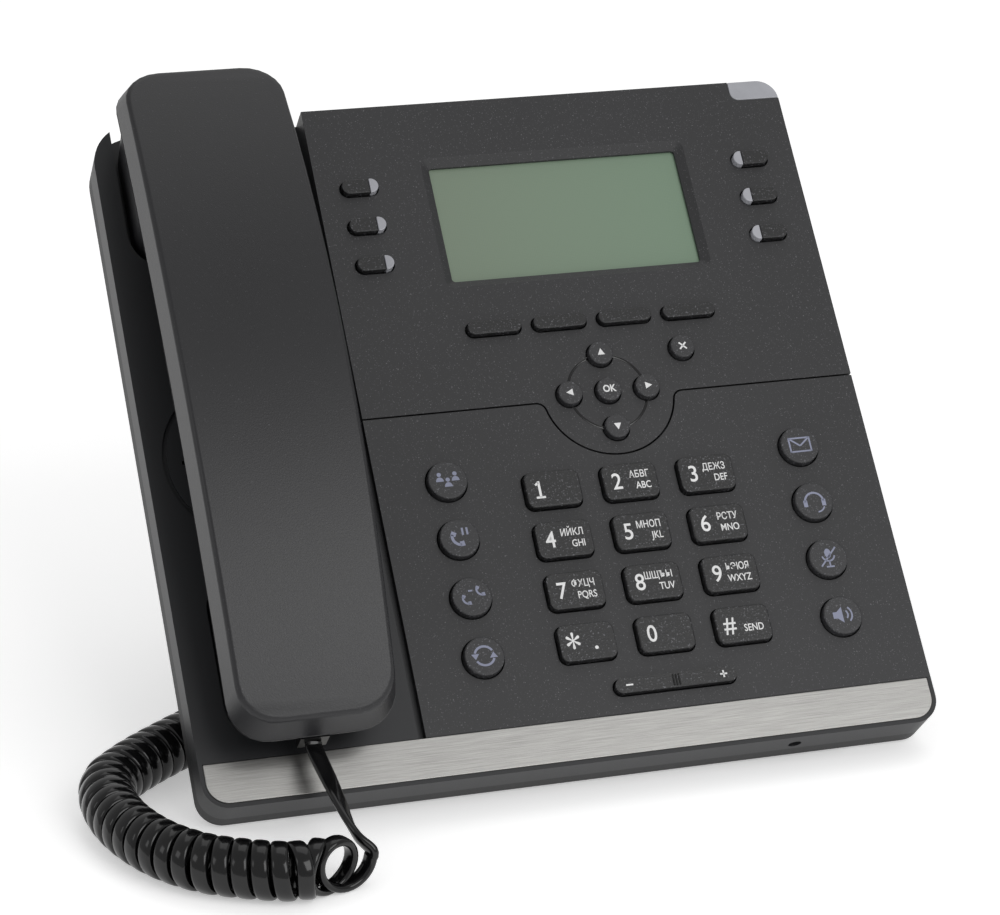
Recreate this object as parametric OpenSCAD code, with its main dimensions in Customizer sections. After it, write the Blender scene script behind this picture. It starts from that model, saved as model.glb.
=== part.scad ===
// Desk IP telephone: tilted base with display and keys, handset in its cradle,
// folding rear stand and a curly handset cord that lies on the desk.
// Row frame: X to the user's right, Y away from the user, Z up, desk at Z = 0.
// Face frame (inside on_face): u to the right, v up the sloping face, w out of it.

/* [Body] */
// Width of the base
body_w = 202; // [190:1:250]
// Length of the sloping face, from its lower edge to its upper edge
body_h = 200; // [198:1:245]
// Depth of the rim, from the face to the back edge
body_d = 14; // [13:0.5:17]
// Depth of the front case's part of the rim
front_d = 9; // [8.5:0.5:11]
// Slope of the face above the desk, in degrees
tilt = 45; // [42:1:50]
// Wall thickness of the cases
wall = 2.2; // [1.6:0.1:3]
// Radius of the two lower corners
corner_low = 7; // [5.5:0.5:9]
// Radius of the upper left corner
corner_left = 13; // [6:0.5:14]
// Radius of the upper right corner
corner_right = 6; // [4:0.5:8]
// Thickness of the two face panels
panel_t = 2.4; // [1.8:0.1:3]
// Gap between neighbouring panels
panel_gap = 0.5; // [0.3:0.1:1]

/* [Cradle] */
// Width of the cradle, from the left edge to the groove
cradle_w = 58.3; // [56:0.5:70]
// Width of the groove between the cradle and the face panels
groove_w = 2; // [1:0.1:3]
// Depth of the two handset pockets under the face
pocket_d = 8.5; // [7:0.5:9.5]
// Clearance round each cup of the handset in its pocket
pocket_gap = 1.2; // [0.8:0.1:2]
// Radius of the ring round the loudspeaker holes
grille_r = 24; // [18:0.5:26]
// Diameter of one loudspeaker hole
grille_hole = 1.8; // [1.2:0.1:2.4]

/* [Trim strip] */
// Height of the metal strip along the lower edge
strip_h = 11; // [9:0.5:14]
// Width of the rim round the strip
strip_rim = 1.2; // [0.8:0.1:2]
// Thickness of the strip
strip_t = 1.2; // [0.8:0.1:2]

/* [Display] */
// Visible width of the display
lcd_w = 73; // [66:1:80]
// Visible height of the display
lcd_h = 36; // [30:1:42]
// Depth of the display under the face
lcd_depth = 2.5; // [2:0.1:3]
// Width of the bevel round the display
lcd_bevel = 2.5; // [1.5:0.1:3]
// Height of the display's centre above the lower edge
lcd_v = 161.7; // [155:0.1:165]

/* [Keys] */
// Distance between the dialling keys' columns
key_pitch_u = 22; // [19:0.5:23]
// Distance between the dialling keys' rows
key_pitch_v = 14.9; // [13.5:0.1:16]
// Width of a dialling key
key_w = 15.6; // [13:0.1:17]
// Height of a dialling key
key_h = 10.4; // [9:0.1:11.5]
// Height of the first row of dialling keys above the lower edge
key_row1_v = 77.7; // [74:0.1:79]
// How far the keys stand above the face
key_rise = 2; // [1.5:0.1:3]
// How far a key travels when it is pressed
key_travel = 1.2; // [0.8:0.1:1.5]
// Gap between a key and its hole
key_gap = 0.4; // [0.3:0.05:0.6]
// Diameter of a round function key
func_dia = 11; // [9:0.5:12]
// Distance of the function keys' columns from the keypad's middle
func_u = 50.6; // [48:0.1:54]
// Distance between neighbouring function keys
func_pitch = 17; // [14:0.5:18]
// Height of the first function key above the lower edge
func_v = 83.2; // [80:0.1:85]
// Diameter of a navigation key
nav_dia = 7; // [6:0.5:7.5]
// Distance of the arrow keys from the middle key
nav_r = 11.2; // [10.5:0.1:12]
// Height of the middle navigation key above the lower edge
nav_v = 105.5; // [104:0.1:107]
// Distance between neighbouring soft keys
soft_pitch = 18.9; // [17.5:0.1:20]
// Distance between neighbouring line keys
line_pitch = 12.1; // [10:0.1:13]
// Distance of the line keys' columns from the keypad's middle
line_u = 57.9; // [55:0.1:61]

/* [Handset] */
// Length of the handset
hs_len = 192; // [187:1:197]
// Width of the handset's ends at the parting line
hs_w = 45; // [43:0.5:47]
// Height of the ends' outer face above the base's face
hs_top = 24; // [22:0.5:27]
// How much higher the handle's middle is than the ends
hs_arch = 13; // [8:0.5:15]
// Depth of the outer shell, from the outer face to the parting line
hs_shell_d = 9.5; // [8:0.5:11]
// Height of the ends' inner side above the base's face
hs_grip = 5; // [4:0.5:6]
// How much higher the inner side is in the middle of the handle
hs_grip_arch = 9; // [6:0.5:11]
// Wall thickness of the handset's shells
hs_wall = 2; // [1.4:0.1:2.4]

/* [Stand] */
// Width of the stand
stand_w = 104; // [80:1:112]
// Height of the hinge above the lower edge, along the face
stand_v = 140; // [130:1:150]
// Depth of the bulge behind the rim that holds the boards and sockets
block_d = 18; // [17:0.5:24]
// Distance of the stand's foot behind its hinge
stand_reach = 16; // [8:1:24]
// Radius of the stand's hinge pins
pin_r = 2; // [1.5:0.1:2.4]
// Running clearance round the hinge pins
pin_gap = 0.06; // [0.03:0.01:0.1]

/* [Cord] */
// Outer diameter of the curly cord's coil
coil_dia = 15; // [13:0.1:16]
// Diameter of the solid that stands for the flat cord's straight ends
tail_dia = 3.2; // [2.4:0.1:3.8]

/* [Hidden] */
$fn = 48;
eps = 0.01;
slack = 0.3;          // clearance between pieces that don't touch

// ---- Outline of the base, in the face frame ----
half_w = body_w / 2;
cradle_r = -half_w + cradle_w;        // right edge of the cradle
panel_l = cradle_r + groove_w;        // left edge of the face panels
strip_top = strip_rim + strip_h;
panel_low = strip_top + panel_gap / 2;
keys_u = (panel_l + half_w) / 2 - 0.85;   // the keypad stands a little left of centre
ledge = 2;                            // width of the ledge that the panels lie on
back_w = -body_d;                     // back of the rim

// ---- Stack behind the keys, as heights w ----
flange_t = 1;
flange_top = -panel_t - slack;
mat_t = 1.2;
mat_inset = 3.5;
glass_t = 1.2;                        // thickness of the display's glass
mat_top = flange_top - flange_t - key_travel - slack;
board_t = 1.6;
board_top = mat_top - mat_t;
board_low = board_top - board_t;
main_top = -body_d + wall - board_t;
main_low = main_top - board_t;
main_len = 100;
chip_u = 19;

// ---- Split between the two face panels ----
split_v = nav_v - 1.3;
dip_r = 18.6;
dip_fillet = 3;

// ---- Keys ----
soft_v = 127.6;
soft_w = 15.4;
soft_h = 4;
line_v = 174.2;
line_w = 10.5;
line_h = 4.4;
line_at = min(line_u, keys_u - panel_l - ledge - line_w / 2 - slack);
tip_w = 2.6;          // the lit end of a line key
tip_gap = 0.1;
cancel_u = 23.9;
cancel_v = 116.5;
rocker_v = 19.5;
rocker_w = 34;
rocker_h = 4.2;
rocker_pivot_r = 1.5;
rocker_pivot_w = -panel_t - rocker_pivot_r - slack;
light_w = 14.5;       // status light in the upper right corner
light_h = 6;
light_r = 2.5;

// ---- Handset ----
hs_u = (-half_w + cradle_r) / 2 - 0.7;
hs_v0 = 11.5;
hs_v1 = hs_v0 + hs_len;
hs_vc = (hs_v0 + hs_v1) / 2;
hs_part = hs_top - hs_shell_d;        // height of the parting line at the ends
hs_swell = 1.3;                       // extra half width in the middle of the handle
hs_taper = 0.6;                       // extra half width at the ear end
hs_draft = 2.4;                       // how much the outer shell narrows towards its face
hs_under = 3;                         // how much the inner shell narrows towards its face
hs_edge = 0.8;                        // small bevel round the outer face
hs_r = 10;                            // corner radius of the handset's ends
cup_low = -pocket_d + slack;
cup_top = hs_grip + hs_grip_arch;
cup_draft = 1;
pocket_wall = 1.6;
pocket_low = -pocket_d - pocket_wall;
cup_r = 9;
ear_len = 43;
ear_w = hs_w - 4;
ear_v = hs_v1 - 4 - ear_len / 2;
mouth_len = 44;
mouth_w = hs_w - 11;
mouth_v = hs_v0 + 7 + mouth_len / 2;

// ---- Loudspeaker under the middle of the handset ----
spk_v = 96.4;
spk_r = 20;
spk_magnet_r = 9;
spk_low = -wall - 1 - 2.5;
grille_rings = 4;

// ---- Hook plunger in the upper pocket ----
hook_v = ear_v - 10;
hook_w = 8;
hook_h = 5;

// ---- Bulge at the back ----
block_w = 64;                         // half width of the bulge
block_v0 = 34;
block_v1 = 166;
block_draft = 6;
slot_v = 62;
slot_pitch = 7;
slot_w = 60;
slot_h = 2.4;
block_low = back_w - block_d;
block_in = block_low + wall;
block_vc = (block_v0 + block_v1) / 2;

// ---- Screws ----
screw_r = 1.4;
screw_head_r = 2.8;
screw_len = 10;
screw_head_h = 1.6;
screw_inset = 6.5;
screw_rows = [24, 140];
boss_r = 3.2;
post_r = 2.4;                         // posts that hold the keypad's board

// ---- Hands-free microphone hole in the lower wall ----
mic_u = keys_u + 31;
mic_w = -5.5;
mic_r = 1.8;

// ---- Sockets in the sides of the bulge ----
socket_w = (main_low + block_in) / 2; // height of every socket's middle
rj9_v = 75;
rj9_pitch = 20;
rj9_body = [16, 11, 11];
rj9_hole = [7.8, 6.8];
rj45_v = 80;
rj45_pitch = 18;
rj45_body = [18, 16, 14];
rj45_hole = [11.8, 8.2];
power_v = 122;
power_body = [14, 11, 12];
power_hole_r = 3.1;
power_pin_r = 1.05;
power_depth = 9.5;
socket_depth = 12;
rj9_plug = [7.6, 6.4];
plug_in = 14;
plug_len = 8;
plug_tail = 5;

// ---- Feet and stand, worked out so that both rest on the desk ----
foot_t = 1.2;
lug_from = 4;         // the feet start this far behind the rim's lower back edge
lug_len = 12;
lug_w = 24;
lug_u = 66;
base_z = 1 + body_d * cos(tilt);      // height of the face's lower edge
front_v = hs_v0 + hs_draft - hs_edge; // the handset's lowest corner reaches furthest forward
front_y = front_v * cos(tilt) - (hs_top - hs_edge) * sin(tilt);
back_y = body_h * cos(tilt) + body_d * sin(tilt);
base_y = -(front_y + back_y) / 2;
hinge_w = block_low - 5;
hinge_y = base_y + stand_v * cos(tilt) - hinge_w * sin(tilt);
hinge_z = base_z + stand_v * sin(tilt) + hinge_w * cos(tilt);
stand_t = 5;
stand_foot_r = 4;
stand_angle = atan2(hinge_z - stand_foot_r, stand_reach);
stand_len = norm([hinge_z - stand_foot_r, stand_reach]);
hinge_r = 4;
lug_gap = 0.5;        // between the stand's barrels and the lugs that hold it
hinge_lug_t = 5;

// ---- Cord, in the row frame ----
plug_lead = 2;                        // straight bit of cord next to a plug
coil_z = coil_dia / 2;
coil_path = [
  [-69.5, -102, coil_z], [-78, -104, coil_z], [-88, -102.5, coil_z], [-98, -98, coil_z],
  [-107, -92, coil_z], [-115, -82, coil_z], [-120.5, -69, coil_z], [-122.5, -56, coil_z],
  [-121, -45, coil_z], [-115.5, -38, coil_z], [-109, -32, coil_z], [-102, -26.5, coil_z],
  [-96, -22, coil_z], [-90, -18, coil_z], [-83, -13, coil_z]
];
handset_exit = [hs_u, hs_v0, 10];     // where the cord leaves the handset, in the face frame
base_exit = [-block_w - plug_tail, rj9_v, socket_w];
handset_tail = [
  [-71.5, -77, 21], [-70, -83, 18], [-68.5, -90, 15], [-67, -96, 13], [-66, -101, 11.5],
  [-67.5, -104, 10.5], [-71, -104.5, 10]
];
base_tail = [
  [-77, -4, 46], [-82, -5, 39], [-84, -7, 30], [-85, -9, 22], [-85.5, -11, 15], [-86, -14.5, 10]
];

// ==== Helpers ====

// Places its children on the sloping face
module on_face() {
  translate([0, base_y, base_z]) rotate([tilt, 0, 0]) children();
}

// The same place for one point
function face_point(p) = [
  p[0],
  base_y + p[1] * cos(tilt) - p[2] * sin(tilt),
  base_z + p[1] * sin(tilt) + p[2] * cos(tilt)
];

// Rounded rectangle about its middle
module rounded(w, h, r) {
  square([w - 2 * r, h], center = true);
  square([w, h - 2 * r], center = true);
  for (su = [-1, 1], sv = [-1, 1])
    translate([su * (w / 2 - r), sv * (h / 2 - r)]) circle(r);
}

// Plate between two heights, from a flat outline
module layer(low, high) {
  translate([0, 0, low]) linear_extrude(high - low) children();
}

// Outline of the base, grown by g, negative to shrink
module base_outline(g = 0) {
  rl = corner_low + g;
  rt = corner_left + g;
  rr = corner_right + g;
  difference() {
    translate([-half_w - g, -g]) square([body_w + 2 * g, body_h + 2 * g]);
    translate([-half_w - g, -g]) corner_cut(rl, 0);
    translate([half_w + g, -g]) corner_cut(rl, 90);
    translate([half_w + g, body_h + g]) corner_cut(rr, 180);
    translate([-half_w - g, body_h + g]) corner_cut(rt, 270);
  }
}

// What a rounded corner takes off a square one
module corner_cut(r, turn) {
  rotate(turn) difference() {
    translate([-1, -1]) square(r + 1);
    translate([r, r]) circle(r);
  }
}

// Point of an arc about c
function arc(c, r, a) = [c[0] + r * cos(a), c[1] + r * sin(a)];

// The display panel's lower edge, with its dip round the navigation keys, grown by g
module dip_outline(g = 0) {
  rf = dip_fillet - g;
  fv = split_v - dip_fillet;
  fu = sqrt(pow(dip_r + dip_fillet, 2) - pow(nav_v - fv, 2));
  turn = atan2(nav_v - fv, fu);
  steps = 12;
  right = [for (k = [0:steps]) arc([fu, fv], rf, 180 - turn - k * (90 - turn) / steps)];
  low = [for (k = [0:4 * steps])
    arc([0, nav_v], dip_r + g, 180 + turn + k * (180 - 2 * turn) / (4 * steps))];
  left = [for (k = [steps:-1:0]) [-right[k][0], right[k][1]]];
  translate([keys_u, 0])
    polygon(concat(left, low, right, [[fu, split_v + 1], [-fu, split_v + 1]]));
}

// Holes for every key that passes through the panels, grown by the gap g
module key_holes(g) {
  for (c = [-1:1], r = [0:3])
    translate([keys_u + c * key_pitch_u, key_row1_v - r * key_pitch_v])
      rounded(key_w + 2 * g, key_h + 2 * g, 2.2 + g);
  for (s = [-1, 1], r = [0:3])
    translate([keys_u + s * func_u, func_v - r * func_pitch]) circle(func_dia / 2 + g);
  for (a = [0:90:270])
    translate([keys_u, nav_v]) rotate(a) translate([nav_r, 0]) circle(nav_dia / 2 + g);
  translate([keys_u, nav_v]) circle(nav_dia / 2 + g);
  translate([keys_u + cancel_u, cancel_v]) circle(nav_dia / 2 + g);
  for (i = [0:3])
    translate([keys_u + (i - 1.5) * soft_pitch, soft_v])
      rounded(soft_w + 2 * g, soft_h + 2 * g, soft_h / 2 + g - eps);
  for (s = [-1, 1], i = [0:2])
    translate([keys_u + s * line_at, line_v - i * line_pitch])
      rounded(line_w + 2 * g, line_h + 2 * g, line_h / 2 + g - eps);
  translate([keys_u, rocker_v])
    rounded(rocker_w + 2 * g, rocker_h + 2 * g, rocker_h / 2 + g - eps);
}

// Outline of the status light in the upper right corner
module status_outline(g = 0) {
  intersection() {
    translate([half_w - light_w - g, body_h - light_h - g]) square(light_w + light_h);
    base_outline(10 * g);
    union() {
      translate([half_w - light_w - g, body_h - light_h - g + light_r])
        square(light_w + light_h);
      translate([half_w - light_w - g + light_r, body_h - light_h - g])
        square(light_w + light_h);
      translate([half_w - light_w - g + light_r, body_h - light_h - g + light_r])
        circle(light_r);
    }
  }
}

// How far along the arch a place v is: 1 in the middle of the handle, 0 at its ends
function bow(v) = 1 - pow((v - hs_vc) / (hs_len / 2), 2);

// Half width of the handset at v, shrunk by g, with rounded corners of radius r at the ends
function hs_half(v, g, r) = let (
  d = min(v - hs_v0 - g, hs_v1 - g - v),
  cut = d < r ? r - sqrt(max(0, r * r - (r - d) * (r - d))) : 0
) hs_w / 2 + hs_swell * bow(v) + hs_taper * (v - hs_vc) / (hs_len / 2) - g - cut;

// Places along the handset where its shape is worked out
function hs_stations(g, r) = concat(
  [for (a = [0:15:90]) hs_v0 + g + r * (1 - cos(a))],
  [for (k = [1:11]) hs_v0 + g + r + (hs_len - 2 * g - 2 * r) * k / 12],
  [for (a = [90:-15:0]) hs_v1 - g - r * (1 - cos(a))]
);

// Two corners of one level of a section: the left one, then the right one
function hs_pair(v, g, r, inset, w) = let (
  vv = hs_vc + (v - hs_vc) * (1 - 2 * inset / hs_len),
  a = max(0.5, hs_half(v, g, r) - inset)
) [[hs_u - a, vv, w], [hs_u + a, vv, w]];

// Solid between arched levels; each level is [inset, height at the ends, arch]
module hs_loft(levels, g, r) {
  st = hs_stations(g, r);
  n = 2 * len(levels);
  rings = [for (v = st) let (
    pairs = [for (l = levels) hs_pair(v, g, r, l[0], l[1] + l[2] * bow(v))]
  ) concat([for (p = pairs) p[0]], [for (k = [len(pairs) - 1:-1:0]) pairs[k][1]])];
  m = len(st);
  walls = [for (i = [0:m - 2], k = [0:n - 1]) each [
    [(i + 1) * n + (k + 1) % n, i * n + (k + 1) % n, i * n + k],
    [(i + 1) * n + k, (i + 1) * n + (k + 1) % n, i * n + k]]];
  first = [for (k = [0:n / 2 - 2]) [k, k + 1, n - 2 - k, n - 1 - k]];
  last = [for (f = first) [for (k = [3:-1:0]) (m - 1) * n + f[k]]];
  polyhedron([for (q = rings) each q], concat(walls, first, last), convexity = 10);
}

// One cup of the handset, shrunk by g and reaching up to the height top
module cup(v, wide, long, top, g = 0) {
  translate([hs_u, v, 0]) hull() {
    layer(top - eps, top) rounded(wide + 2 * cup_draft - 2 * g, long + 2 * cup_draft - 2 * g, cup_r - g);
    layer(cup_low + g, cup_low + g + eps) rounded(wide - 2 * g, long - 2 * g, cup_r - g);
  }
}

// Outline of the mouthpiece's pocket, grown by g
module mouth_pocket(g = 0) {
  p = pocket_gap + cup_draft + g;
  translate([hs_u, mouth_v]) rounded(mouth_w + 2 * p, mouth_len + 2 * p, cup_r + p);
}

// Outline of the earpiece's pocket, open at the top and out to the face panels, grown by g
module ear_pocket(g = 0) {
  p = pocket_gap + cup_draft + g;
  low = ear_v - ear_len / 2 - p;
  left = hs_u - ear_w / 2 - p;
  translate([left + cup_r + p, low]) square([panel_l + g - left - cup_r - p, body_h]);
  translate([left, low + cup_r + p]) square([cup_r + p + 1, body_h]);
  translate([left + cup_r + p, low + cup_r + p]) circle(cup_r + p);
}

// Tube swept along a list of points, as one polyhedron
function unit(p) = p / norm(p);
function along(path, i) = unit(
  path[min(i + 1, len(path) - 1)] - path[max(i - 1, 0)]
);
function side_of(t) = unit(cross(t, abs(t[2]) > 0.9 ? [1, 0, 0] : [0, 0, 1]));
function ring(path, i, r, n) = let (
  t = along(path, i),
  a = side_of(t),
  b = cross(t, a)
) [for (k = [0:n - 1]) path[i] + r * cos(360 * k / n) * a + r * sin(360 * k / n) * b];

module tube(path, r, n) {
  rings = len(path);
  points = [for (i = [0:rings - 1]) each ring(path, i, r, n)];
  walls = [for (i = [0:rings - 2], k = [0:n - 1])
    [(i + 1) * n + k, (i + 1) * n + (k + 1) % n, i * n + (k + 1) % n, i * n + k]];
  first = [[for (k = [0:n - 1]) k]];
  last = [[for (k = [n - 1:-1:0]) (rings - 1) * n + k]];
  polyhedron(points, concat(walls, first, last), convexity = 10);
}

// A key: its body through the panel and a flange that keeps it in
module key_piece(u, v, top) {
  on_face() translate([u, v, 0]) {
    layer(flange_top - flange_t, top) children(0);
    layer(flange_top - flange_t, flange_top) children(1);
  }
}

module dial_key(col, row) {
  color("#242426")
    key_piece(keys_u + (col - 1) * key_pitch_u, key_row1_v - row * key_pitch_v, key_rise) {
      rounded(key_w, key_h, 2.2);
      rounded(key_w + 2, key_h + 2, 2.2);
    }
}

module round_key(u, v, dia, top) {
  color("#3a3a3d") key_piece(keys_u + u, v, top) {
    circle(dia / 2);
    circle(dia / 2 + 1);
  }
}

module soft_key(i) {
  color("#2a2a2c") key_piece(keys_u + (i - 1.5) * soft_pitch, soft_v, key_rise - 0.2) {
    rounded(soft_w, soft_h, soft_h / 2 - eps);
    rounded(soft_w + 1.6, soft_h + 1.6, soft_h / 2);
  }
}

// Line key without its lit end, which faces the display
module line_key(side, i) {
  color("#2a2a2c")
    key_piece(keys_u + side * line_at, line_v - i * line_pitch, key_rise - 0.2) {
      line_part(side, false);
      line_part(side, false);
    }
}

module line_part(side, lit) {
  split = side * (tip_w - line_w / 2);
  difference() {
    rounded(line_w, line_h, line_h / 2 - eps);
    translate([split + (lit ? 1 : -1) * side * (line_w - tip_gap) / 2, 0])
      square([line_w, line_h + 1], center = true);
  }
}

// ==== Base ====

module front_case() {
  color("#3c3c40") on_face() difference() {
    union() {
      difference() {
        layer(-front_d, 0) base_outline();
        layer(-front_d - 1, -wall - 1) base_outline(-wall);
      }
      intersection() {
        layer(pocket_low, -1) {
          ear_pocket(pocket_wall);
          mouth_pocket(pocket_wall);
        }
        union() {
          layer(-front_d, 0) base_outline();
          layer(pocket_low - 1, -front_d + eps) base_outline(-wall - slack);
        }
      }
      screw_places() translate([0, 0, -front_d]) cylinder(r = boss_r, h = front_d - wall - 1 + eps);
    }
    // seat of the face panels and the opening behind them
    layer(-panel_t, 1) panel_area(0);
    layer(-wall - 2, 1) panel_opening();
    // groove beside the cradle
    layer(-panel_t, 1) translate([cradle_r, panel_low - panel_gap]) square([groove_w, body_h]);
    // seat of the metal strip
    layer(-strip_t, 1) strip_outline(0.1);
    // handset pockets
    layer(-pocket_d, 1) {
      ear_pocket();
      mouth_pocket();
    }
    // hook plunger
    translate([hs_u, hook_v, -pocket_d - 3])
      linear_extrude(4) rounded(hook_w + 2 * slack, hook_h + 2 * slack, 1 + slack);
    // loudspeaker ring and holes
    translate([hs_u, spk_v, -0.8]) difference() {
      cylinder(r = grille_r, h = 2);
      translate([0, 0, -1]) cylinder(r = grille_r - 1.2, h = 4);
    }
    for (n = [0:grille_rings], k = [0:max(1, 6 * n) - 1])
      translate([hs_u, spk_v, -wall - 2]) rotate(360 * k / max(1, 6 * n))
        translate([n * (spk_r - 2) / grille_rings, 0, 0]) cylinder(d = grille_hole, h = wall + 3);
    // room for the rear case's screw bosses under the pockets
    screw_places() layer(pocket_low - 1, -front_d) circle(boss_r + slack);
    // hands-free microphone hole in the lower wall
    translate([mic_u, wall + 1, mic_w]) rotate([90, 0, 0]) cylinder(r = mic_r, h = wall + 2);
    screw_places() layer(-front_d - 1, back_w + screw_len + 0.2) circle(screw_r + 0.05);
  }
}

// Where the four case screws stand
module screw_places() {
  for (s = [-1, 1], v = screw_rows)
    translate([s * (half_w - screw_inset), v, 0]) children();
}

// Area that the two face panels cover
module panel_area(g) {
  intersection() {
    translate([panel_l, panel_low - g]) square([body_w, body_h + 1]);
    base_outline(1);
  }
}

// Opening behind the panels, which leaves them a ledge to sit on
module panel_opening() {
  difference() {
    translate([panel_l + ledge, panel_low + ledge])
      square([half_w - panel_l - 2 * ledge - wall, body_h - panel_low - 2 * ledge - wall]);
    screw_places() circle(boss_r);
  }
}

module display_panel() {
  color("#3d3d3f") on_face() difference() {
    layer(-panel_t, 0) difference() {
      intersection() {
        union() {
          translate([panel_l, split_v]) square([body_w, body_h]);
          dip_outline();
        }
        base_outline();
      }
      key_holes(key_gap);
      translate([keys_u, lcd_v]) rounded(lcd_w, lcd_h, 1);
      status_outline(0.1);
    }
    // bevel that leads down to the display
    hull() {
      translate([keys_u, lcd_v, eps]) linear_extrude(1) rounded(lcd_w + 2 * lcd_bevel, lcd_h + 2 * lcd_bevel, 2.5);
      translate([keys_u, lcd_v, -panel_t + 0.8]) linear_extrude(eps) rounded(lcd_w, lcd_h, 1);
    }
  }
}

module keypad_panel() {
  color("#3d3d3f") on_face() layer(-panel_t, 0) difference() {
    intersection() {
      translate([panel_l, panel_low]) square([body_w, split_v - panel_gap - panel_low]);
      base_outline();
    }
    dip_outline(panel_gap);
    key_holes(key_gap);
  }
}

module strip_outline(g = 0) {
  intersection() {
    base_outline(-strip_rim + g);
    translate([-half_w, 0]) square([body_w, strip_top + g]);
  }
}

module trim_strip() {
  color("#c4c3bf") on_face() layer(-strip_t, 0.2) strip_outline();
}

// The rear case: rim, back and the bulge that holds boards and sockets
module bulge(g) {
  hull() {
    layer(back_w - eps, back_w) translate([0, block_vc])
      square([2 * (block_w - g), block_v1 - block_v0 - 2 * g], center = true);
    layer(block_low + g, block_low + g + eps) translate([0, block_vc])
      square([2 * (block_w - g), block_v1 - block_v0 - 2 * block_draft - 2 * g], center = true);
  }
}

module rear_case() {
  color("#36363a") difference() {
    union() {
      difference() {
        union() {
          on_face() {
            layer(back_w, -front_d) base_outline();
            bulge(0);
            for (s = [-1, 1]) hinge_lug(s);
          }
          for (s = [-1, 1]) foot_lug(s);
        }
        on_face() {
          layer(back_w + wall, -front_d + 1) base_outline(-wall);
          bulge(wall);
          layer(back_w - 1, back_w + wall + 1) translate([0, block_vc])
            square([2 * (block_w - wall), block_v1 - block_v0 - 2 * wall], center = true);
        }
      }
      on_face() {
        screw_places() layer(back_w + eps, -front_d) circle(boss_r);
        for (u = [panel_l + 9, half_w - 17], v = [28, 174])
          translate([u, v, 0]) layer(back_w + eps, board_low) circle(post_r);
      }
    }
    on_face() {
      // hinge bores
      translate([-block_w, stand_v, hinge_w]) rotate([0, 90, 0])
        cylinder(r = pin_r + pin_gap, h = 2 * block_w);
      // screws and their counterbores
      screw_places() {
        translate([0, 0, back_w - 1]) cylinder(r = screw_r + 0.1, h = body_d);
        translate([0, 0, back_w - 1]) cylinder(r = screw_head_r + slack, h = 1 + screw_head_h);
      }
      socket_openings();
      // air slots in the back
      for (i = [0:5])
        translate([0, slot_v + slot_pitch * i, block_low - 1])
          linear_extrude(wall + 2) rounded(slot_w, slot_h, slot_h / 2 - eps);
    }
  }
}

// Lugs that hold the stand's pins
module hinge_lug(s) {
  hull() {
    translate([s * (stand_w / 2 + lug_gap + hinge_lug_t / 2), stand_v, hinge_w]) rotate([0, 90, 0])
      cylinder(r = hinge_r, h = hinge_lug_t, center = true);
    translate([s * (stand_w / 2 + lug_gap + hinge_lug_t / 2), stand_v, block_low + 0.5])
      cube([hinge_lug_t, 14, 1], center = true);
  }
}

// Wedge under the rim with a level underside for a rubber foot
module foot_lug(s) {
  y0 = base_y + body_d * sin(tilt);
  translate([s * lug_u - lug_w / 2, 0, 0]) rotate([90, 0, 90]) linear_extrude(lug_w)
    polygon([
      [y0 + foot_t - 1, foot_t], [y0 + lug_from + lug_len + 1, foot_t],
      [y0 + lug_from + lug_len + 1, lug_from + lug_len + 2 + wall / 2], [y0, 1 + wall / 2]
    ]);
}

module front_feet() {
  y0 = base_y + body_d * sin(tilt) + lug_from;
  color("#1c1c1e") for (s = [-1, 1])
    translate([s * lug_u, y0 + lug_len / 2, 0]) linear_extrude(foot_t)
      rounded(lug_w - 2, lug_len, 2);
}

module case_screws() {
  color("#9a9a9c") on_face() screw_places() {
    translate([0, 0, back_w]) cylinder(r = screw_head_r, h = screw_head_h);
    translate([0, 0, back_w]) cylinder(r = screw_r, h = screw_len);
  }
}

module lcd_module() {
  color("#7f9180") on_face() translate([keys_u, lcd_v, 0]) {
    layer(-lcd_depth - glass_t, -lcd_depth) rounded(lcd_w + 6, lcd_h + 4, 1);
    layer(board_top, -lcd_depth - glass_t) rounded(lcd_w + 10, lcd_h + 6, 1);
  }
}

module light_guides() {
  color("#b5b6b8") on_face() {
    layer(-panel_t, 0) status_outline(0);
    for (s = [-1, 1], i = [0:2])
      translate([keys_u + s * line_at, line_v - i * line_pitch])
        layer(board_top, key_rise - 0.2) line_part(s, true);
  }
}

// Area of the keypad mat and board, shrunk by g
module mat_outline(g = 0) {
  low = strip_top + mat_inset + g;
  translate([panel_l + mat_inset + g, low])
    square([half_w - wall - panel_l - 2 * (mat_inset + g), body_h - wall - mat_inset - g - low]);
}

// What the mat and board leave free for the screws and the rocker
module mat_relief() {
  screw_places() circle(boss_r + slack);
  translate([keys_u - rocker_w / 2 - 1, 0]) square([rocker_w + 2, rocker_v + rocker_h]);
}

module keypad_mat() {
  color("#6c6f73") on_face() difference() {
    layer(board_top, mat_top) mat_outline();
    layer(board_top - 1, mat_top + 1) {
      mat_relief();
      translate([keys_u, lcd_v]) square([lcd_w + 11, lcd_h + 7], center = true);
      for (s = [-1, 1], i = [0:2])
        translate([keys_u + s * (line_at - line_w / 2 + tip_w / 2), line_v - i * line_pitch])
          square([tip_w + 1, line_h + 1], center = true);
    }
  }
}

module keypad_board() {
  color("#2d5a3c") on_face() difference() {
    layer(board_low, board_top) mat_outline(-0.5);
    layer(board_low - 1, board_top + 1) mat_relief();
  }
}

// The main board carries the processor, the hook switch and the microphone
module main_board() {
  color("#2d5a3c") on_face() {
    translate([0, block_vc, main_low]) linear_extrude(board_t)
      square([2 * (block_w - wall - 0.5), main_len], center = true);
    translate([chip_u, block_vc, main_top]) linear_extrude(1.6) square(14, center = true);
    translate([-chip_u, block_vc - 20, main_top]) linear_extrude(3) square([10, 18], center = true);
  }
}

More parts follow.
